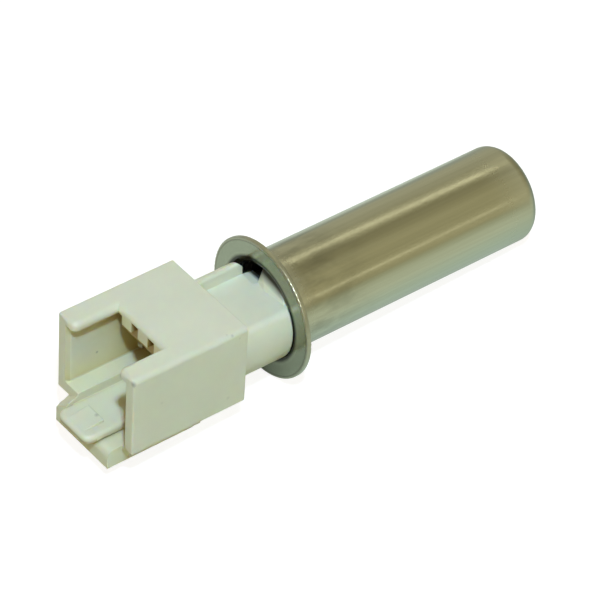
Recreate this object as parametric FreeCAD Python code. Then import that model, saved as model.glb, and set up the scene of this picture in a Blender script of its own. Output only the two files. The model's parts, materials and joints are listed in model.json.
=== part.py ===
import FreeCAD, Part
import math
import os

# Thermistor probe. Lengths in mm. +X runs along the sheath to its closed tip, +Z is
# the side with the notch, and the origin is the middle of the flange's seating face.

# Steel sheath
sheath_radius = 5.0
sheath_wall = 0.5
sheath_tip_x = 30.2
tip_corner = 1.3
flange_radius = 7.25
flange_edge = 0.12
mouth_bend = 0.8

# Connector shroud
shroud_front_x = -19.63
shroud_rear_x = -6.58
shroud_half_width = 5.86
shroud_top = 4.99
shroud_bottom = -4.11
shroud_near_edge = 0.5
shroud_far_edge = 0.2
shroud_end_edge = 0.18
top_plate = 0.85
cavity_half_width = 4.43
cavity_floor = -2.8
cavity_back_x = -10.5
lead_in_depth = 0.45
lead_in_half_width = 4.75

# Notch in the top plate, and the curtain with its key teeth that hangs at its back
notch_half_width = 3.4
notch_back_x = -14.6
tab_corner = 0.7
notch_edge = 0.58
tooth_foot = 3.12
tooth_depth = 0.8
tooth_gap_top = 4.33
curtain_thickness = 0.85
curtain_foot = 1.75
curtain_half_width = 3.82
tooth_spans = [(1.4, 2.86), (-1.12, 0.38), (-3.4, -2.1)]

# Latch slab below the shroud, with its platform, rail and nib
slab_front_x = -20.85
slab_rear_x = -11.0
slab_right = -3.78
slab_left = 4.32
slab_bottom = -6.85
slab_top = -4.65
slab_edge = 0.2
slab_brow = 0.8
platform_front_x = -22.1
platform_rear_x = -12.6
platform_right = -2.23
platform_left = 2.62
platform_top = -3.65
platform_corner = 0.9
platform_edge = 0.4
crevice = 0.3
crevice_depth = 0.6
rail_edge = 0.25
web_left = -4.43
web_right = -4.9
web_bottom = -5.3
web_front_x = -19.2
ramp_point = (-19.2, 2.62, -2.8)
ramp_normal = (-0.36, 0.6, 0.72)
nib_front_x = -21.6
nib_rear_x = -19.35
nib_right = -1.05
nib_left = 1.3
nib_height = 0.3

# Neck and plug
neck_radius = 5.07
mouth_gap = 0.09
neck_flat = 2.8
neck_flat_edge = 0.9
rib_side_y = 2.42
rib_edge = 0.35
rib_slope_x = -1.5
rib_slope_drop = 0.7
rib_end_x = -0.92
vent_floor = 0.0
slot_side_y = 0.62
slot_slope_x = -1.0
slot_slope_drop = 0.2
slot_drop_x = 0.35
slot_floor = 2.0
riser_left_x = -0.45
riser_prow = (-0.72, -0.6)
riser_corner = (-0.5, -3.27)
riser_peak = (0.05, 4.2)
plug_start_x = 0.2
plug_end_x = 9.0
plug_relief = 0.08
plug_land_x = 4.0
plug_land_length = 3.0
plug_chamfer = 0.4

# Contact pins
pin_side = 0.64
pin_pitch = 2.5
pin_z = 1.3
pin_tip_x = -13.8
pin_tail_x = 11.5
pin_point = 0.18

# Leads, sleeves, bead and potting
lead_radius = 0.2
lead_start_x = 9.3
lead_bend_x = 12.0
lead_straight_x = 15.0
lead_end_x = 26.5
lead_half_gap = 0.5
sleeve_radius = 0.45
sleeve_start_x = 15.4
sleeve_end_x = 23.0
chip_half_length = 0.7
chip_half_height = 0.7
bead_half_length = 2.2
bead_radius = 1.5
bead_nose = 1.3
bead_shoulder = 0.5
bead_x = 25.9
potting_start_x = 17.0

V = FreeCAD.Vector
X_AXIS = V(1, 0, 0)
REACH = 30.0
os.makedirs("parts", exist_ok=True)

bore_radius = sheath_radius - sheath_wall
flange_front_x = -sheath_wall
cavity_top = shroud_top - top_plate


def box(x0, x1, y0, y1, z0, z1):
    return Part.makeBox(x1 - x0, y1 - y0, z1 - z0, V(x0, y0, z0))


def rod(radius, x0, x1, y=0.0, z=0.0):
    return Part.makeCylinder(radius, x1 - x0, V(x0, y, z), X_AXIS)


def arc(centre, radius, start, end):
    """Arc in the XZ plane between two angles in degrees."""
    points = []
    for angle in (start, (start + end) / 2.0, end):
        a = math.radians(angle)
        points.append(V(centre[0] + radius * math.cos(a), 0, centre[1] + radius * math.sin(a)))
    return Part.Arc(*points).toShape()


def line(a, b):
    return Part.makeLine(V(a[0], 0, a[1]), V(b[0], 0, b[1]))


def revolve(edges):
    face = Part.Face(Part.Wire(edges))
    return face.revolve(V(0, 0, 0), X_AXIS, 360)


def half_space(point, normal):
    """A block that fills the side of a plane to which its normal points."""
    block = Part.makeBox(REACH, REACH, REACH, V(-REACH / 2, -REACH / 2, 0))
    block.Placement = FreeCAD.Placement(point, FreeCAD.Rotation(V(0, 0, 1), normal))
    return block


def rounding(point, inward, radius):
    """What a rounded top edge of the shroud loses, as a face square to the edge."""
    def at(inside, drop):
        return V(point[0] + inward[0] * inside, point[1] + inward[1] * inside, shroud_top - drop)
    bulge = radius * (1.0 - math.sqrt(0.5))
    round_off = Part.Arc(at(0, radius), at(bulge, bulge), at(radius, 0)).toShape()
    rest = Part.makePolygon([at(radius, 0), at(radius, -radius), at(-radius, -radius),
                             at(-radius, radius), at(0, radius)])
    return Part.Face(Part.Wire([round_off] + rest.Edges))


def edges_where(shape, test):
    return [edge for edge in shape.Edges if test(edge.BoundBox)]


def save(shape, name):
    solid = shape.removeSplitter()
    if len(solid.Solids) != 1:
        raise RuntimeError("%s has %d solids" % (name, len(solid.Solids)))
    solid = solid.Solids[0]
    if not solid.isValid():
        raise RuntimeError("%s is not a valid solid" % name)
    solid.exportStep("parts/%s.step" % name)


# Steel sheath: one deep drawing, with the flange rolled out round a bell mouth.
bend = (mouth_bend + flange_front_x, bore_radius + mouth_bend)
root = mouth_bend - sheath_wall
rim = flange_radius - flange_edge
corner_x = sheath_tip_x - tip_corner
corner_r = sheath_radius - tip_corner
inner_corner = tip_corner - sheath_wall
sheath = revolve([
    line((sheath_tip_x, 0), (sheath_tip_x, corner_r)),
    arc((corner_x, corner_r), tip_corner, 0, 90),
    line((corner_x, sheath_radius), (bend[0], sheath_radius)),
    arc(bend, root, 270, 180),
    line((0, bend[1]), (0, rim)),
    arc((-flange_edge, rim), flange_edge, 0, 90),
    line((-flange_edge, flange_radius), (flange_front_x + flange_edge, flange_radius)),
    arc((flange_front_x + flange_edge, rim), flange_edge, 90, 180),
    line((flange_front_x, rim), (flange_front_x, bend[1])),
    arc(bend, mouth_bend, 180, 270),
    line((bend[0], bore_radius), (corner_x, bore_radius)),
    arc((corner_x, corner_r), inner_corner, 90, 0),
    line((corner_x + inner_corner, corner_r), (corner_x + inner_corner, 0)),
    line((corner_x + inner_corner, 0), (sheath_tip_x, 0)),
])
sheath_inner_tip_x = corner_x + inner_corner

# Connector body: one moulding. The shroud starts as a block with rounded edges.
body = box(shroud_front_x, shroud_rear_x, -shroud_half_width, shroud_half_width,
           shroud_bottom, shroud_top)
body = body.makeFillet(shroud_near_edge, edges_where(
    body, lambda b: b.XLength > 5 and b.YMax < 0 and b.ZMin > 0))
body = body.makeFillet(shroud_far_edge, edges_where(
    body, lambda b: b.XLength > 5 and (b.YMin > shroud_half_width - 0.01
                                       or b.ZMax < shroud_bottom + 0.01)
    and b.YLength < 0.01 and b.ZLength < 0.01))
for end_x in (shroud_rear_x, shroud_front_x):
    ring = edges_where(body, lambda b: abs(b.XMin - end_x) < 1e-6 and abs(b.XMax - end_x) < 1e-6)
    body = body.makeFillet(shroud_end_edge, ring)

# Neck: a round bar with a flat cut on top, which leaves a rib on one side.
nest = mouth_bend + mouth_gap
nest_angle = math.asin((bend[1] - neck_radius) / nest)
neck_end_x = bend[0] - nest * math.cos(nest_angle)
neck_start_x = shroud_rear_x - 1.0
neck = revolve([
    line((neck_start_x, 0), (neck_start_x, neck_radius)),
    line((neck_start_x, neck_radius), (neck_end_x, neck_radius)),
    arc(bend, nest, 180 + math.degrees(nest_angle), 270),
    line((bend[0], bend[1] - nest), (bend[0], 0)),
    line((bend[0], 0), (neck_start_x, 0)),
])
neck = neck.cut(box(shroud_rear_x - 2.0, 1.0, -REACH, rib_side_y, neck_flat, REACH))
neck = neck.makeFillet(neck_flat_edge, edges_where(
    neck, lambda b: b.XLength > 4 and b.YMax < 0 and abs(b.ZMin - neck_flat) < 1e-4))
neck = neck.makeFillet(rib_edge, edges_where(
    neck, lambda b: b.XLength > 4 and b.ZMin > neck_flat + 0.5 and b.YMin > 0))
slope = revolve([
    line((rib_slope_x, neck_radius), (rib_slope_x, neck_radius + 1.0)),
    line((rib_slope_x, neck_radius + 1.0), (1.0, neck_radius + 1.0)),
    line((1.0, neck_radius + 1.0), (rib_end_x, neck_radius - rib_slope_drop)),
    line((rib_end_x, neck_radius - rib_slope_drop), (rib_slope_x, neck_radius)),
]).common(box(rib_slope_x - 1.0, 1.0, rib_side_y - 0.5, REACH, neck_flat, REACH))
neck = neck.cut(slope)

# Plug: fills the bore from below up to a riser with two facets that meet in a prow.
plug = rod(bore_radius - plug_relief, plug_start_x, plug_end_x)
plug = plug.makeChamfer(plug_chamfer, edges_where(plug, lambda b: b.XMin > plug_end_x - 0.01))
land = rod(bore_radius, plug_land_x, plug_land_x + plug_land_length)
left_foot = V(riser_left_x, slot_side_y, neck_flat)
prow_foot = V(riser_prow[0], riser_prow[1], neck_flat)
corner_foot = V(riser_corner[0], riser_corner[1], neck_flat)
peak = V(riser_peak[0], slot_side_y, riser_peak[1])
riser = rod(bore_radius - plug_relief, rib_slope_x, plug_start_x + 0.1).common(
    box(rib_slope_x, 1.0, -REACH, slot_side_y, neck_flat - 0.2, REACH))
riser = riser.cut(half_space(prow_foot, (peak - prow_foot).cross(left_foot - prow_foot)))
riser = riser.cut(half_space(prow_foot, (corner_foot - prow_foot).cross(peak - prow_foot)))

# A sloping slot beside the rib, and a deep vent behind the rib's end, let the potting
# be poured and the air out.
slot = Part.Face(Part.Wire([
    line((slot_slope_x, neck_flat), (slot_slope_x, REACH)),
    line((slot_slope_x, REACH), (REACH, REACH)),
    line((REACH, REACH), (REACH, slot_floor)),
    line((REACH, slot_floor), (slot_drop_x, slot_floor)),
    line((slot_drop_x, slot_floor), (slot_drop_x, neck_flat - slot_slope_drop)),
    line((slot_drop_x, neck_flat - slot_slope_drop), (slot_slope_x, neck_flat)),
])).extrude(V(0, rib_side_y - slot_side_y, 0))
slot.translate(V(0, slot_side_y, 0))
vent = box(rib_end_x, REACH, rib_side_y, REACH, vent_floor, REACH)
stem = neck.fuse([plug, land, riser]).cut(slot.fuse(vent))

# Latch slab, platform, left rail and right web.
slab = box(slab_front_x, slab_rear_x, slab_right, slab_left, slab_bottom, slab_top)
slab = slab.makeFillet(slab_edge, edges_where(slab, lambda b: abs(b.ZMin - slab_bottom) < 1e-6
                                              and abs(b.ZMax - slab_bottom) < 1e-6))
slab = slab.makeFillet(slab_brow, edges_where(
    slab, lambda b: b.XMax < slab_front_x + 0.01 and b.ZMin > slab_top - 0.01))
rail = box(slab_front_x, slab_rear_x, platform_left, slab_left, slab_top - slab_brow, cavity_floor)
rail = rail.makeFillet(rail_edge, edges_where(
    rail, lambda b: b.XLength > 5 and b.YMax < platform_left + 0.01 and b.ZMin > cavity_floor - 0.01))
core = box(shroud_front_x + 0.5, slab_rear_x, slab_right, slab_left, slab_top - 0.2, shroud_bottom + 0.5)
web = box(web_front_x, slab_rear_x, web_right, slab_right + 0.5, web_bottom, slab_top)
web_wall = box(web_front_x, slab_rear_x, web_right, web_left, web_bottom, shroud_bottom + 0.5)

platform = box(platform_front_x, platform_rear_x, platform_right, platform_left,
               slab_top + crevice, platform_top)
platform = platform.makeFillet(platform_corner, edges_where(
    platform, lambda b: b.ZLength > 0.5 and b.XMax < platform_front_x + 0.01))
platform = platform.makeFillet(platform_edge, edges_where(
    platform, lambda b: b.ZMin > platform_top - 1e-4 and b.XMin < platform_rear_x - 0.1
    and b.YMin < platform_left - 0.1))
foot = box(slab_front_x + crevice_depth, platform_rear_x, platform_right + crevice_depth,
           platform_left, slab_top - 0.2, platform_top - 0.1)
nib = Part.Face(Part.Wire([
    line((nib_front_x, platform_top - 0.1), (nib_front_x, platform_top)),
    line((nib_front_x, platform_top), (nib_rear_x, platform_top + nib_height)),
    line((nib_rear_x, platform_top + nib_height), (nib_rear_x, platform_top - 0.1)),
    line((nib_rear_x, platform_top - 0.1), (nib_front_x, platform_top - 0.1)),
])).extrude(V(0, nib_left - nib_right, 0))
nib.translate(V(0, nib_right, 0))

# The rail's front end is cut by one slanting face, low at the front and outside.
wedge = half_space(V(*ramp_point), V(*ramp_normal)).common(
    box(-REACH, shroud_front_x + 0.6, platform_left, REACH, -REACH, REACH))
rail = rail.cut(wedge)

# Hollows: socket, lead-in at its sides, notch, and the sunk floor beside the rail.
socket = box(shroud_front_x - 4.0, cavity_back_x, -cavity_half_width, cavity_half_width,
             cavity_floor, cavity_top)
lead_in = []
for sign, foot_z in ((1, cavity_floor), (-1, slab_top)):
    outline = Part.makePolygon([
        V(shroud_front_x - 0.01, 0, foot_z),
        V(shroud_front_x - 0.01, sign * lead_in_half_width, foot_z),
        V(shroud_front_x + lead_in_depth, sign * cavity_half_width, foot_z),
        V(shroud_front_x + lead_in_depth, 0, foot_z),
        V(shroud_front_x - 0.01, 0, foot_z),
    ])
    lead_in.append(Part.Face(outline).extrude(V(0, 0, cavity_top - foot_z)))
side = notch_half_width
turn = side + tab_corner
turn_x = shroud_front_x + tab_corner
quarter = tab_corner * (1.0 - math.sqrt(0.5))
notch = Part.Wire([
    Part.makeLine(V(shroud_front_x - 1, -turn, cavity_top), V(shroud_front_x, -turn, cavity_top)),
    Part.Arc(V(shroud_front_x, -turn, cavity_top), V(shroud_front_x + quarter, -side - quarter, cavity_top),
             V(turn_x, -side, cavity_top)).toShape(),
    Part.makeLine(V(turn_x, -side, cavity_top), V(notch_back_x, -side, cavity_top)),
    Part.makeLine(V(notch_back_x, -side, cavity_top), V(notch_back_x, side, cavity_top)),
    Part.makeLine(V(notch_back_x, side, cavity_top), V(turn_x, side, cavity_top)),
    Part.Arc(V(turn_x, side, cavity_top), V(shroud_front_x + quarter, side + quarter, cavity_top),
             V(shroud_front_x, turn, cavity_top)).toShape(),
    Part.makeLine(V(shroud_front_x, turn, cavity_top), V(shroud_front_x - 1, turn, cavity_top)),
    Part.makeLine(V(shroud_front_x - 1, turn, cavity_top), V(shroud_front_x - 1, -turn, cavity_top)),
])
notch = Part.Face(notch).extrude(V(0, 0, top_plate + 1.0))

# The notch's upper edges are well rounded, and the rounding runs out along the two tabs.
flares = [rounding((notch_back_x, -side), X_AXIS, notch_edge).extrude(V(0, 2.0 * side, 0))]
run_out_y = shroud_half_width - shroud_near_edge - 0.06
for sign in (1, -1):
    outward = V(0, sign, 0)
    flank = rounding((turn_x, sign * side), outward, notch_edge)
    tab = rounding((shroud_front_x, sign * turn), X_AXIS, notch_edge)
    tab_end = rounding((shroud_front_x, sign * run_out_y), X_AXIS, shroud_end_edge + 0.03)
    back_end = rounding((notch_back_x, sign * side), X_AXIS, notch_edge)
    flank_end = rounding((notch_back_x, sign * side), outward, notch_edge)
    flares += [
        flank.extrude(V(notch_back_x - turn_x, 0, 0)),
        flank.revolve(V(turn_x, sign * turn, 0), V(0, 0, -sign), 90),
        back_end.extrude(outward * notch_edge).common(flank_end.extrude(X_AXIS * notch_edge)),
        Part.makeLoft([tab.OuterWire, tab_end.OuterWire], True, True),
    ]
sunk = box(shroud_front_x - 4.0, platform_rear_x, -cavity_half_width, platform_left,
           slab_top, cavity_floor)
body = body.fuse([core, slab, web, web_wall])
body = body.cut(socket.fuse(lead_in + [notch, sunk]))
for flare in flares:
    body = body.cut(flare)
body = body.fuse([rail, platform, foot, nib])
curtain_x = notch_back_x + tooth_depth
curtain = box(curtain_x, curtain_x + curtain_thickness, -curtain_half_width, curtain_half_width,
              curtain_foot, cavity_top + 0.1)
teeth = [box(notch_back_x, curtain_x + 0.1, low, high, tooth_foot, cavity_top + 0.1)
         for low, high in tooth_spans]
for upper, lower in zip(tooth_spans, tooth_spans[1:]):
    body = body.cut(box(notch_back_x - 0.1, curtain_x, lower[1], upper[0], cavity_top - 0.1, tooth_gap_top))
body = body.fuse([curtain] + teeth + [stem])

# Contact pins: square wire with pointed tips, moulded into the body.
pins = {}
for name, sign in (("left", 1), ("right", -1)):
    y = sign * pin_pitch / 2.0
    half = pin_side / 2.0
    pin = box(pin_tip_x, pin_tail_x, y - half, y + half, pin_z - half, pin_z + half)
    pin = pin.makeChamfer(pin_point, edges_where(pin, lambda b: b.XMax < pin_tip_x + 0.01))
    pins[name] = pin
    body = body.cut(box(pin_tip_x + 1.0, pin_tail_x, y - half, y + half, pin_z - half, pin_z + half))

# Leads: run under the pin tails, cross to the chip's faces and end on them.
lead_y = lead_half_gap + lead_radius
leads = {}
sleeves = {}
for name, sign in (("left", 1), ("right", -1)):
    tail_y = sign * pin_pitch / 2.0
    tail_z = pin_z - pin_side / 2.0 - lead_radius
    end_y = sign * lead_y
    curve = Part.BSplineCurve()
    curve.interpolate([V(lead_bend_x, tail_y, tail_z), V(lead_straight_x, end_y, 0)],
                      InitialTangent=X_AXIS, FinalTangent=X_AXIS)
    path = Part.Wire([
        Part.makeLine(V(lead_start_x, tail_y, tail_z), V(lead_bend_x, tail_y, tail_z)),
        curve.toShape(),
        Part.makeLine(V(lead_straight_x, end_y, 0), V(lead_end_x, end_y, 0)),
    ])
    ring = Part.Wire([Part.makeCircle(lead_radius, V(lead_start_x, tail_y, tail_z), X_AXIS)])
    leads[name] = path.makePipeShell([ring], True, True)
    sleeves[name] = rod(sleeve_radius, sleeve_start_x, sleeve_end_x, end_y).cut(
        rod(lead_radius, sleeve_start_x - 1, sleeve_end_x + 1, end_y))

# Thermistor chip, its resin bead, and the potting in the closed end.
chip = box(bead_x - chip_half_length, bead_x + chip_half_length, -lead_half_gap, lead_half_gap,
           -chip_half_height, chip_half_height)
bead_full = rod(bead_radius, bead_x - bead_half_length, bead_x + bead_half_length)
bead_full = bead_full.makeFillet(bead_nose, edges_where(bead_full, lambda b: b.XMin > bead_x))
bead_full = bead_full.makeFillet(bead_shoulder, edges_where(
    bead_full, lambda b: b.XMax < bead_x and b.XLength < 0.01))
bead = bead_full.cut(chip)
potting = rod(bore_radius, potting_start_x, sheath_inner_tip_x)
potting = potting.makeFillet(inner_corner, edges_where(
    potting, lambda b: b.XMin > sheath_inner_tip_x - 0.01))
hollow = bead_full
for name in ("left", "right"):
    bead = bead.cut(leads[name])
    hollow = hollow.fuse([leads[name], sleeves[name]])
potting = potting.cut(hollow)

save(sheath, "steel_sheath")
save(body, "connector_body")
for name in ("left", "right"):
    save(pins[name], "contact_pin_%s" % name)
    save(leads[name], "lead_wire_%s" % name)
    save(sleeves[name], "lead_sleeve_%s" % name)
save(chip, "thermistor_chip")
save(bead, "bead_coating")
save(potting, "potting_compound")
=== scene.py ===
import json
import math

import bmesh
import bpy
from mathutils import Matrix, Vector

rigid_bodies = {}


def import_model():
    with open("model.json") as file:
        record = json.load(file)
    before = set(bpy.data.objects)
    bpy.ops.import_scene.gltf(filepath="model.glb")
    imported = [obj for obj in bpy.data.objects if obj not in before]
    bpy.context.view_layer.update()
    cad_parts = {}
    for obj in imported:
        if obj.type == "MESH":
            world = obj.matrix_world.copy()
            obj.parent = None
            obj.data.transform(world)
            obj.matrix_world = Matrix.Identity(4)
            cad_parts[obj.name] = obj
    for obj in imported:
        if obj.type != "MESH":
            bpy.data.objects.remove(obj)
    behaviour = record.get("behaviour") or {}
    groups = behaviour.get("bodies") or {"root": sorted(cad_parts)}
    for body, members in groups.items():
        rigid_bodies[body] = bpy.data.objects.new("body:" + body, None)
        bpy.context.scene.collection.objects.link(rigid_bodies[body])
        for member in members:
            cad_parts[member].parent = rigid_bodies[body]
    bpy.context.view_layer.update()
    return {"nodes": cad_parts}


for leftover in list(bpy.data.objects):
    bpy.data.objects.remove(leftover)
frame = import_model()
nodes = frame["nodes"]

# Steel sheath: one deep-drawn stainless tube with a closed tip and a rolled-out flange.
# Drawing leaves fine lengthwise scratches, and heat and handling leave a khaki film
# with stains beside the flange. The connector's plug is pressed into its open end.


def new_material(name):
    """A new material, its node tree and its shader."""
    material = bpy.data.materials.new(name)
    material.use_nodes = True
    tree = material.node_tree
    return material, tree, tree.nodes["Principled BSDF"]


def own_coordinates(tree):
    """The piece's own coordinates, in metres."""
    return tree.nodes.new("ShaderNodeTexCoord").outputs["Object"]


def split(tree, vector):
    """The X, Y and Z of a vector, by name."""
    node = tree.nodes.new("ShaderNodeSeparateXYZ")
    tree.links.new(vector, node.inputs["Vector"])
    return node.outputs


def stretched_noise(tree, stretch, scale, detail=4.0, roughness=0.6):
    """Noise on the piece's own coordinates, drawn out by the given stretch."""
    mapping = tree.nodes.new("ShaderNodeMapping")
    mapping.inputs["Scale"].default_value = stretch
    noise = tree.nodes.new("ShaderNodeTexNoise")
    noise.inputs["Scale"].default_value = scale
    noise.inputs["Detail"].default_value = detail
    noise.inputs["Roughness"].default_value = roughness
    tree.links.new(own_coordinates(tree), mapping.inputs["Vector"])
    tree.links.new(mapping.outputs["Vector"], noise.inputs["Vector"])
    return noise.outputs["Fac"]


def grey(value):
    """A neutral colour."""
    return (value, value, value)


def ramp(tree, value, stops):
    """Colour ramp over a value; each stop is (place, (r, g, b))."""
    node = tree.nodes.new("ShaderNodeValToRGB")
    elements = node.color_ramp.elements
    for index, (place, colour) in enumerate(stops):
        element = elements[index] if index < 2 else elements.new(place)
        element.position = place
        element.color = (*colour, 1.0)
    tree.links.new(value, node.inputs["Fac"])
    return node.outputs["Color"]


def bump(tree, shader, height, strength, distance, below=None):
    """Bump from a height, laid on top of another normal when one is given."""
    node = tree.nodes.new("ShaderNodeBump")
    node.inputs["Strength"].default_value = strength
    node.inputs["Distance"].default_value = distance
    tree.links.new(height, node.inputs["Height"])
    if below is not None:
        tree.links.new(below, node.inputs["Normal"])
    tree.links.new(node.outputs["Normal"], shader.inputs["Normal"])
    return node.outputs["Normal"]


def tinted(tree, colour, shade, share=None):
    """A colour multiplied by a shade, all of it or the share given."""
    node = tree.nodes.new("ShaderNodeMix")
    node.data_type = "RGBA"
    node.blend_type = "MULTIPLY"
    node.inputs["Factor"].default_value = 1.0
    if share is not None:
        tree.links.new(share, node.inputs["Factor"])
    tree.links.new(colour, node.inputs["A"])
    if isinstance(shade, tuple):
        node.inputs["B"].default_value = (*shade, 1.0)
    else:
        tree.links.new(shade, node.inputs["B"])
    return node.outputs["Result"]


def maths(tree, operation, first, second=0.0):
    """A Math node; each input is a socket or a number."""
    node = tree.nodes.new("ShaderNodeMath")
    node.operation = operation
    for index, value in enumerate((first, second)):
        if isinstance(value, (int, float)):
            node.inputs[index].default_value = value
        else:
            tree.links.new(value, node.inputs[index])
    return node.outputs[0]


def distance_from(tree, vector, point):
    """How far a vector is from a fixed point."""
    node = tree.nodes.new("ShaderNodeVectorMath")
    node.operation = "DISTANCE"
    node.inputs[1].default_value = point
    tree.links.new(vector, node.inputs[0])
    return node.outputs["Value"]


def own_place(tree):
    """The piece's own X and its distance from the sheath's axis, both in units of 10 mm."""
    scaled = tree.nodes.new("ShaderNodeVectorMath")
    scaled.operation = "SCALE"
    scaled.inputs["Scale"].default_value = 100.0
    tree.links.new(own_coordinates(tree), scaled.inputs[0])
    flat = tree.nodes.new("ShaderNodeVectorMath")
    flat.operation = "MULTIPLY"
    flat.inputs[1].default_value = (0, 1, 1)
    tree.links.new(scaled.outputs["Vector"], flat.inputs[0])
    return split(tree, scaled.outputs["Vector"])["X"], distance_from(tree, flat.outputs["Vector"], (0, 0, 0))


sheath_steel, tree, shader = new_material("drawn_steel")
shader.inputs["Metallic"].default_value = 1.0
streaks = stretched_noise(tree, (40, 2600, 2600), 1.0)
film = ramp(tree, streaks, [(0.3, (0.43, 0.425, 0.315)), (0.7, (0.485, 0.48, 0.36))])

# Painted shade darkens the bell mouth on its inner skin only. Both skins turn about one
# bend centre, 0.8 mm and 0.5 mm from it.
along, out_from_axis = own_place(tree)
bend_centre = (0.05, 0.55, 0.0)
between_skins = 0.065
in_profile = tree.nodes.new("ShaderNodeCombineXYZ")
tree.links.new(along, in_profile.inputs["X"])
tree.links.new(out_from_axis, in_profile.inputs["Y"])
from_bend = distance_from(tree, in_profile.outputs["Vector"], bend_centre)
outer_skin = maths(tree, "LESS_THAN", from_bend, between_skins)
beyond_mouth = ramp(tree, along, [(0.065, grey(0.0)), (0.085, grey(1.0))])
painted_mouth_shade = ramp(tree, out_from_axis, [
    (0.49, grey(0.04)), (0.533, grey(0.1)), (0.553, grey(0.65)), (0.572, grey(1.0))])
# Painted shade factor: one outside the mouth, dark inside it.
mouth_shade_factor = maths(tree, "MAXIMUM", painted_mouth_shade, maths(tree, "MAXIMUM", beyond_mouth, outer_skin))
film = tinted(tree, film, mouth_shade_factor)

tube_length = 3.1
along_tube = maths(tree, "DIVIDE", along, tube_length)
# Painted shade: a dark band round the tip where it turns in.
tip_painted_shade = ramp(tree, along_tube, [(0.94, grey(1.0)), (0.951, grey(0.82)), (0.962, grey(1.0))])
film = tinted(tree, film, tip_painted_shade)
blotches = stretched_noise(tree, (260, 620, 620), 1.0, 3.0)
stains = ramp(tree, blotches, [(0.36, grey(0.72)), (0.62, grey(1.0))])
handled = ramp(tree, along_tube, [
    (0.02, grey(0.0)), (0.036, grey(1.0)), (0.16, grey(0.8)), (0.34, grey(0.0))])
film = tinted(tree, film, stains, handled)
# Painted shade on the flange: its face darker than the tube, a dark line inside the rim's edge, the rim less
# darkened.
flange_face_shade = (0.72, 0.76, 0.76)
flange_shade = ramp(tree, out_from_axis, [
    (0.505, grey(1.0)), (0.56, (0.86, 0.9, 0.9)), (0.58, flange_face_shade), (0.688, flange_face_shade),
    (0.694, grey(0.48)), (0.700, grey(0.48)), (0.706, grey(0.84)), (0.722, grey(0.84))])
tree.links.new(tinted(tree, film, flange_shade), shader.inputs["Base Color"])

gloss = ramp(tree, stretched_noise(tree, (60, 2000, 2000), 1.0), [(0.3, grey(0.19)), (0.7, grey(0.23))])
worked = ramp(tree, along_tube, [
    (0.028, grey(0.0)), (0.036, grey(0.12)), (0.085, grey(0.0)), (0.8, grey(0.0)), (0.95, grey(0.14))])
rim_wear = ramp(tree, out_from_axis, [(0.69, grey(0.0)), (0.705, grey(0.12))])
dulled = maths(tree, "ADD", worked, rim_wear)
tree.links.new(maths(tree, "ADD", gloss, dulled), shader.inputs["Roughness"])
scratches = stretched_noise(tree, (120, 5000, 5000), 1.0, 2.0)
scratched = bump(tree, shader, scratches, 0.05, 0.00001)
by_flange = ramp(tree, along_tube, [(0.036, grey(1.0)), (0.11, grey(0.0))])
dents = maths(tree, "MULTIPLY", stretched_noise(tree, (1, 1, 1), 1500.0, 2.0), by_flange)
bump(tree, shader, dents, 0.3, 0.00006, scratched)
nodes["steel_sheath"].data.materials.clear()
nodes["steel_sheath"].data.materials.append(sheath_steel)

# Connector body: one injection moulding in pale grey-green nylon, with the socket, the
# latch slab, the neck and the plug. The surface is satin and slightly milky, and warm
# shade is painted inside the socket. The plug is pressed into the sheath.


def climb(tree, value, low, high, top=1.0):
    """Nothing up to a low value, then a straight rise to the top at a high value."""
    node = tree.nodes.new("ShaderNodeMapRange")
    node.inputs["From Min"].default_value = low
    node.inputs["From Max"].default_value = high
    node.inputs["To Max"].default_value = top
    tree.links.new(value, node.inputs["Value"])
    return node.outputs["Result"]


def in_bore(tree, axes, half_width, middle, half_height, rear):
    """One inside a square bore along X that ends at its rear, nothing outside."""
    across = maths(tree, "DIVIDE", maths(tree, "ABSOLUTE", axes["Y"]), half_width)
    above = maths(tree, "SUBTRACT", axes["Z"], middle)
    upward = maths(tree, "DIVIDE", maths(tree, "ABSOLUTE", above), half_height)
    within = maths(tree, "LESS_THAN", maths(tree, "MAXIMUM", across, upward), 1.0)
    return maths(tree, "MULTIPLY", within, maths(tree, "LESS_THAN", axes["X"], rear))


body_plastic, tree, shader = new_material("pale_nylon")
clouds = stretched_noise(tree, (1, 1, 1), 160.0, 3.0)
tint = ramp(tree, clouds, [(0.3, (0.72, 0.73, 0.58)), (0.7, (0.76, 0.77, 0.62))])
body_place = own_coordinates(tree)
axes = split(tree, body_place)

# Painted warm shade in the socket, less of it on the floor and the latch, more behind the teeth.
sheltered = tree.nodes.new("ShaderNodeAmbientOcclusion")
sheltered.samples = 12
sheltered.inputs["Distance"].default_value = 0.005
# Painted shade: darker and browner the more closed in the surface is.
socket_painted_shade = ramp(tree, sheltered.outputs["AO"], [
    (0.0, (0.36, 0.22, 0.075)), (0.35, (0.71, 0.56, 0.28)), (0.7, (1.0, 0.94, 0.71)), (1.0, grey(1.0))])
socket_rear = -0.009
socket_middle = 0.0007
socket_half_height = 0.00365
in_socket = in_bore(tree, axes, 0.0049, socket_middle, socket_half_height, socket_rear)
on_floor = maths(tree, "LESS_THAN", axes["Z"], -0.0026)
walls_share = maths(tree, "SUBTRACT", in_socket, maths(tree, "MULTIPLY", on_floor, 0.55))
below_socket = maths(tree, "LESS_THAN", axes["Z"], -0.0029)
on_latch = maths(tree, "MULTIPLY", below_socket, maths(tree, "LESS_THAN", axes["X"], -0.012))
socket_shade_share = maths(tree, "MAXIMUM", walls_share, maths(tree, "MULTIPLY", on_latch, 0.4))
tint = tinted(tree, tint, socket_painted_shade, socket_shade_share)
teeth_front = -0.0146
teeth_rear = -0.0130
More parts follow.
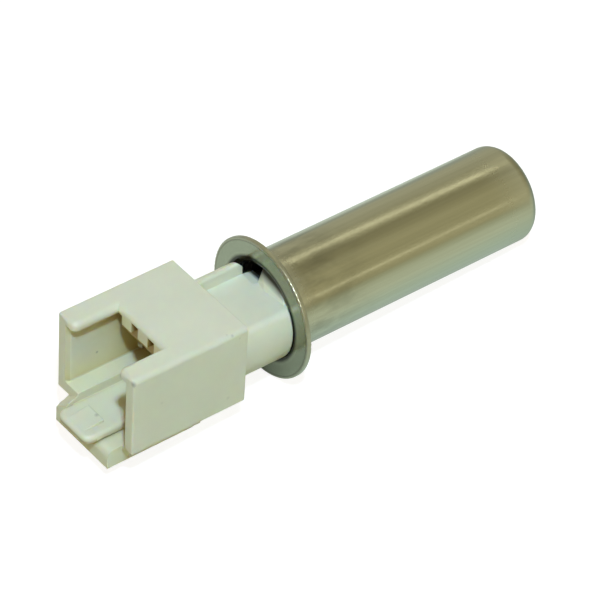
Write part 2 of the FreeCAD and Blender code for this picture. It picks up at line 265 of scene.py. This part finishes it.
# Painted shade behind the teeth, deepening towards the back.
teeth_painted_shade = ramp(tree, climb(tree, axes["X"], teeth_front, teeth_rear), [
    (0.02, grey(1.0)), (0.4, (0.62, 0.43, 0.23)), (1.0, (0.58, 0.4, 0.19))])
round_teeth = in_bore(tree, axes, 0.0042, 0.0009, 0.00345, socket_rear)
tint = tinted(tree, tint, teeth_painted_shade, round_teeth)

# Shade on the left lead-in, where the plug goes into the bell mouth, and at the latch's foot.
lead_in_rear = -0.019
to_lead_in = in_bore(tree, axes, 0.00476, socket_middle, socket_half_height, lead_in_rear)
to_wall = in_bore(tree, axes, 0.00446, socket_middle, socket_half_height, lead_in_rear)
on_left = maths(tree, "GREATER_THAN", axes["Y"], 0.0)
on_lead_in = maths(tree, "MULTIPLY", maths(tree, "SUBTRACT", to_lead_in, to_wall), on_left)
tint = tinted(tree, tint, (0.91, 0.89, 0.79), on_lead_in)
up_riser = climb(tree, axes["Z"], 0.0018, 0.0032, 0.00035)
into_mouth = climb(tree, maths(tree, "ADD", axes["X"], up_riser), -0.0001, 0.0003)
tint = tinted(tree, tint, ramp(tree, into_mouth, [(0.0, grey(1.0)), (1.0, grey(0.06))]))
ledge_foot = climb(tree, axes["Z"], -0.0044, -0.0040)
shaded_foot = ramp(tree, ledge_foot, [(0.3, (0.68, 0.63, 0.5)), (1.0, grey(1.0))])
past_slab = maths(tree, "LESS_THAN", axes["X"], -0.0209)
tint = tinted(tree, tint, shaded_foot, past_slab)

# Dark spots: place, radius and how much of the colour is left at the middle.
dark_spots = [
    ((-0.0162, 0.00443, -0.00071), 0.00018, 0.55), ((-0.0197, -0.0058, 0.0047), 0.00045, 0.5),
    ((-0.00885, -0.00545, 0.00492), 0.00015, 0.8), ((-0.0084, -0.0057, 0.0048), 0.0002, 0.75),
    ((-0.0076, -0.0058, 0.0042), 0.00015, 0.8), ((-0.00863, -0.00586, -0.00272), 0.00025, 0.88),
    ((-0.01635, -0.00586, 0.00079), 0.0002, 0.9), ((-0.0195, -0.0002, -0.0034), 0.0003, 0.7),
]
for spot, radius, colour_left in dark_spots:
    away = maths(tree, "DIVIDE", distance_from(tree, body_place, spot), radius)
    tint = tinted(tree, tint, ramp(tree, away, [(0.2, grey(colour_left)), (1.0, grey(1.0))]))
tree.links.new(tint, shader.inputs["Base Color"])
shader.inputs["Roughness"].default_value = 0.42
shader.inputs["Subsurface Weight"].default_value = 0.5
shader.inputs["Subsurface Radius"].default_value = (1.0, 0.6, 0.25)
shader.inputs["Subsurface Scale"].default_value = 0.0003
grain = stretched_noise(tree, (1, 1, 1), 5200.0, 2.0)
soft_edges = tree.nodes.new("ShaderNodeBevel")
soft_edges.samples = 6
soft_edges.inputs["Radius"].default_value = 0.00016
bump(tree, shader, grain, 0.08, 0.00001, soft_edges.outputs["Normal"])
nodes["connector_body"].data.materials.clear()
nodes["connector_body"].data.materials.append(body_plastic)

# Contact pins: two lengths of square brass wire, tinned, with pointed tips. The body is
# moulded round them, and their tails reach into the sheath.
pin_metal, tree, shader = new_material("tinned_brass")
shader.inputs["Metallic"].default_value = 1.0
wiped = stretched_noise(tree, (200, 2500, 2500), 1.0)
tinning = ramp(tree, wiped, [(0.3, (0.3, 0.27, 0.2)), (0.7, (0.4, 0.37, 0.29))])
tree.links.new(tinning, shader.inputs["Base Color"])
tree.links.new(ramp(tree, wiped, [(0.3, grey(0.28)), (0.7, grey(0.42))]), shader.inputs["Roughness"])
for name in ("contact_pin_left", "contact_pin_right"):
    nodes[name].data.materials.clear()
    nodes[name].data.materials.append(pin_metal)

# Sensing end, all hidden in the sheath: a ceramic chip between two tinned leads, dipped
# in black resin, with sleeved leads back to the pins and potting in the closed end.
# Each row is the pieces, finish, slot, dark and light colour, roughness and metallic.
hidden = [
    (("thermistor_chip",), "sintered_ceramic", "chip_ceramic",
     (0.02, 0.02, 0.022), (0.03, 0.03, 0.032), 0.6, 0.0),
    (("bead_coating",), "dipped_resin", "bead_resin",
     (0.008, 0.007, 0.006), (0.014, 0.012, 0.010), 0.22, 0.0),
    (("lead_wire_left", "lead_wire_right"), "tinned_wire", "lead_metal",
     (0.5, 0.49, 0.46), (0.62, 0.61, 0.58), 0.32, 1.0),
    (("lead_sleeve_left", "lead_sleeve_right"), "sleeve_tube", "sleeve_plastic",
     (0.62, 0.59, 0.48), (0.7, 0.67, 0.56), 0.5, 0.0),
    (("potting_compound",), "cast_potting", "potting_resin",
     (0.5, 0.47, 0.4), (0.56, 0.53, 0.46), 0.55, 0.0),
]
for names, finish, slot_name, dark, light, roughness, metallic in hidden:
    material, tree, shader = new_material(finish)
    mottle = stretched_noise(tree, (1, 1, 1), 1800.0)
    tree.links.new(ramp(tree, mottle, [(0.3, dark), (0.7, light)]), shader.inputs["Base Color"])
    shader.inputs["Roughness"].default_value = roughness
    shader.inputs["Metallic"].default_value = metallic
    bump(tree, shader, mottle, 0.1, 0.00001)
    for name in names:
        nodes[name].data.materials.clear()
        nodes[name].data.materials.append(material)

# Table: the probe lies on its flange and its tip, so the table slopes a little in the
# part's own frame. It is white to the eye, and mirror rays see a painted reflection of it in dimmer bands.
rim_low = Vector((0.0, 0.0, -0.00725))
tip_low = Vector((0.0289, 0.0, -0.005))
slope = math.atan2(tip_low.z - rim_low.z, tip_low.x - rim_low.x)
table_reach = 1.5
table_mesh = bpy.data.meshes.new("table")
table_form = bmesh.new()
bmesh.ops.create_grid(table_form, x_segments=1, y_segments=1, size=table_reach)
table_form.to_mesh(table_mesh)
table_form.free()
table_mesh.transform(Matrix.Translation(rim_low) @ Matrix.Rotation(-slope, 4, "Y"))
table = bpy.data.objects.new("table", table_mesh)
bpy.context.scene.collection.objects.link(table)


def picked(tree, seen, mirrored, bounced):
    """One shader for the eye, one for mirror rays and one for light that bounces about."""
    path = tree.nodes.new("ShaderNodeLightPath")
    shown = bounced
    for ray, shader in (("Is Glossy Ray", mirrored), ("Is Camera Ray", seen)):
        mix = tree.nodes.new("ShaderNodeMixShader")
        tree.links.new(path.outputs[ray], mix.inputs["Fac"])
        tree.links.new(shown, mix.inputs[1])
        tree.links.new(shader, mix.inputs[2])
        shown = mix.outputs[0]
    return shown


table_white = bpy.data.materials.new("table_white")
table_white.use_nodes = True
tree = table_white.node_tree
tree.nodes.clear()
out = tree.nodes.new("ShaderNodeOutputMaterial")
paper = tree.nodes.new("ShaderNodeBsdfDiffuse")
paper.inputs["Color"].default_value = (0.6, 0.61, 0.43, 1)
shade = tree.nodes.new("ShaderNodeBsdfDiffuse")
shade.inputs["Color"].default_value = (0.3, 0.3, 0.28, 1)
glow = tree.nodes.new("ShaderNodeEmission")
glow.inputs["Strength"].default_value = 0.88
both = tree.nodes.new("ShaderNodeAddShader")
tree.links.new(shade.outputs[0], both.inputs[0])
tree.links.new(glow.outputs[0], both.inputs[1])
table_place = own_coordinates(tree)
on_table = split(tree, table_place)
# Painted reflection of the table in bands, with a painted shadow under the probe.
painted_table_reflection = ramp(tree, climb(tree, on_table["Y"], -0.06, 0.04), [
    (0.0, (0.58, 0.62, 0.47)), (0.45, (0.83, 0.92, 0.78)), (0.54, (0.67, 0.84, 0.78)),
    (0.58, (0.46, 0.55, 0.49)), (0.72, (0.78, 0.9, 0.82)), (1.0, (0.72, 0.8, 0.73))])
# Painted shadow in the reflection where the flange's rim stands on the table.
rim_shadow_spot = (0.0003, 0.0005, -0.00725)
rim_shadow_reach = 0.01
from_rim = maths(tree, "DIVIDE", distance_from(tree, table_place, rim_shadow_spot), rim_shadow_reach)
painted_table_reflection = tinted(tree, painted_table_reflection, ramp(tree, from_rim, [(0.15, grey(0.4)), (0.45, grey(1.0))]))
# Painted dimming of the reflection past the tip.
past_tip = climb(tree, on_table["X"], 0.033, 0.05)
painted_dim_past_tip = ramp(tree, past_tip, [(0.0, grey(1.0)), (1.0, grey(0.6))])
near_axis = maths(tree, "GREATER_THAN", on_table["Y"], -0.012)
sheen = tree.nodes.new("ShaderNodeEmission")
tree.links.new(tinted(tree, painted_table_reflection, painted_dim_past_tip, near_axis), sheen.inputs["Color"])
tree.links.new(picked(tree, both.outputs[0], sheen.outputs[0], paper.outputs[0]), out.inputs["Surface"])
table_mesh.materials.append(table_white)

# Room: white to the eye, dim walls to mirror rays, and a warm fill for the rest.
world = bpy.data.worlds.new("room")
bpy.context.scene.world = world
world.use_nodes = True
tree = world.node_tree
tree.nodes.clear()
out = tree.nodes.new("ShaderNodeOutputWorld")
seen_room = tree.nodes.new("ShaderNodeBackground")
seen_room.inputs["Color"].default_value = (1, 1, 1, 1)
warm_fill = tree.nodes.new("ShaderNodeBackground")
warm_fill.inputs["Color"].default_value = (0.32, 0.205, 0.057, 1)
heading = tree.nodes.new("ShaderNodeTexCoord")
turn = split(tree, heading.outputs["Generated"])
walls = ramp(tree, climb(tree, turn["Y"], -1.0, 1.0), [
    (0.2, (0.56, 0.52, 0.33)), (0.35, (0.52, 0.48, 0.3)), (0.48, (0.36, 0.33, 0.2)),
    (0.63, (0.36, 0.33, 0.2)), (0.9, (0.62, 0.61, 0.48))])
dim_room = tree.nodes.new("ShaderNodeBackground")
tree.links.new(walls, dim_room.inputs["Color"])
surroundings = picked(tree, seen_room.outputs[0], dim_room.outputs[0], warm_fill.outputs[0])
tree.links.new(surroundings, out.inputs["Surface"])

# Lamps: a small key and a rear fill light the part. The glint and the two strips are seen
# only in the steel's reflections.
lamp_distance = 0.5


def lamp(name, direction, size, size_y, power, colour):
    """Rectangular lamp that shines at the probe from a direction."""
    data = bpy.data.lights.new(name, "AREA")
    data.shape = "RECTANGLE"
    data.size = size
    data.size_y = size_y
    data.energy = power
    data.color = colour
    light = bpy.data.objects.new(name, data)
    away = Vector(direction).normalized()
    light.location = away * lamp_distance
    light.rotation_mode = "QUATERNION"
    light.rotation_quaternion = away.to_track_quat("Z", "Y")
    bpy.context.scene.collection.objects.link(light)
    return light


def toward(azimuth, elevation):
    """Direction at an azimuth from -Y and an elevation, both in radians."""
    return Vector((math.sin(azimuth) * math.cos(elevation),
                   -math.cos(azimuth) * math.cos(elevation), math.sin(elevation)))


key_direction = toward(math.radians(-36), math.radians(57))
lamp("key", key_direction, size=0.035, size_y=0.035, power=2.74, colour=(0.465, 0.647, 0.815))
rear_fill = lamp("rear_fill", (0.5, 0.82, 0.2), size=0.2, size_y=0.2, power=0.9, colour=(0.57, 0.68, 0.82))
rear_fill.visible_glossy = False
strip_colour = (1.0, 0.98, 0.8)
mirror_lamps = [
    lamp("glint", key_direction, size=0.14, size_y=0.5, power=3.4, colour=(0.9, 0.95, 1.0)),
    lamp("strip_behind", (0.49, 0.382, 0.782), size=0.3, size_y=0.026, power=0.058, colour=strip_colour),
    lamp("strip_right", (0.49, -0.815, 0.31), size=0.3, size_y=0.02, power=0.021, colour=strip_colour),
]
for mirror_lamp in mirror_lamps:
    mirror_lamp.visible_diffuse = False

# Camera: above the connector's end, on its right, with a long lens.
camera_azimuth = math.radians(-40.68)
camera_elevation = math.radians(41.385)
camera_roll = math.radians(3.917)
camera_distance = 0.34971
aim_across = 0.00336
aim_up = 0.000591
focal_pixels = 3711.93
frame_pixels = 600
camera_data = bpy.data.cameras.new("camera")
camera_data.sensor_width = 36.0
camera_data.lens = focal_pixels / frame_pixels * camera_data.sensor_width
camera_data.clip_start = 0.01
camera_data.clip_end = 10.0
camera = bpy.data.objects.new("camera", camera_data)
bpy.context.scene.collection.objects.link(camera)
bpy.context.scene.camera = camera
level = Vector((math.cos(camera_azimuth), math.sin(camera_azimuth), 0))
back = toward(camera_azimuth, camera_elevation)
upright = back.cross(level)
across = math.cos(camera_roll) * level + math.sin(camera_roll) * upright
up = -math.sin(camera_roll) * level + math.cos(camera_roll) * upright
stand = aim_across * across + aim_up * up + camera_distance * back
camera.matrix_world = Matrix.Translation(stand) @ Matrix((across, up, back)).transposed().to_4x4()

bpy.context.scene.view_settings.view_transform = "Standard"
